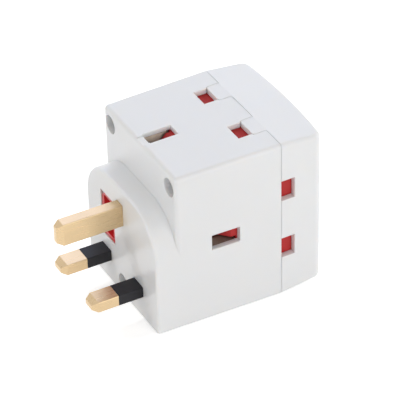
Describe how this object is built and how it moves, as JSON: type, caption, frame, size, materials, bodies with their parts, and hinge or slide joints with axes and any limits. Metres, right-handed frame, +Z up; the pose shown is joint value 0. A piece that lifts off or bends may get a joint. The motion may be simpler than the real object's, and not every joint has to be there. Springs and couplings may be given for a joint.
{
  "type": "multi socket adapter",
  "caption": "Fused plug-in cube adapter with rectangular pins on an arched boss and shuttered sockets on its top and both sides.",
  "frame": {"origin": "middle of the line between the two lower pins, on the plug face that meets the wall socket", "axes": "+X to the right seen from the wall, +Y away from the wall towards the front, +Z up with the earth pin on top"},
  "size_m": [0.0498, 0.0837, 0.0586],
  "materials": {
    "white_plastic": "satin moulded",
    "red_plastic": "moulded",
    "black_sleeve": "satin",
    "pin_brass": "bright",
    "contact_brass": "dull stamped",
    "fuse_ceramic": "matt",
    "plated_cap": "plated",
    "spring_steel": "drawn wire",
    "screw_steel": "zinc"
  },
  "bodies": {
    "housing": {"rear_casing": "white_plastic", "front_cover": "white_plastic", "earth_pin": "pin_brass", "line_pin": "pin_brass", "neutral_pin": "pin_brass", "line_pin_sleeve": "black_sleeve", "neutral_pin_sleeve": "black_sleeve", "line_fuse_clip": "contact_brass", "live_bar": "contact_brass", "neutral_bar": "contact_brass", "earth_bar": "contact_brass", "upper_right_screw": "screw_steel", "upper_left_screw": "screw_steel", "lower_screw": "screw_steel", "top_shutter_spring": "spring_steel", "left_shutter_spring": "spring_steel", "right_shutter_spring": "spring_steel"},
    "top_shutter": {"top_shutter": "red_plastic"},
    "left_shutter": {"left_shutter": "red_plastic"},
    "right_shutter": {"right_shutter": "red_plastic"},
    "fuse_carrier": {"fuse_carrier": "red_plastic", "fuse_tube": "fuse_ceramic", "fuse_cap_front": "plated_cap", "fuse_cap_back": "plated_cap"}
  },
  "joints": [
    {"name": "top_shutter_slide", "type": "slide", "parent": "housing", "child": "top_shutter", "axis": [0, 1, 0], "range_m": [0, 0.0052], "stiffness_N_per_m": 150, "springref_m": -0.004, "deforming": ["top_shutter_spring"]},
    {"name": "left_shutter_slide", "type": "slide", "parent": "housing", "child": "left_shutter", "axis": [0, 1, 0], "range_m": [0, 0.0052], "stiffness_N_per_m": 150, "springref_m": -0.004, "deforming": ["left_shutter_spring"]},
    {"name": "right_shutter_slide", "type": "slide", "parent": "housing", "child": "right_shutter", "axis": [0, 1, 0], "range_m": [0, 0.0052], "stiffness_N_per_m": 150, "springref_m": -0.004, "deforming": ["right_shutter_spring"]},
    {"name": "fuse_carrier_pull", "type": "slide", "parent": "housing", "child": "fuse_carrier", "axis": [0, -1, 0], "range_m": [0, 0.056]}
  ]
}
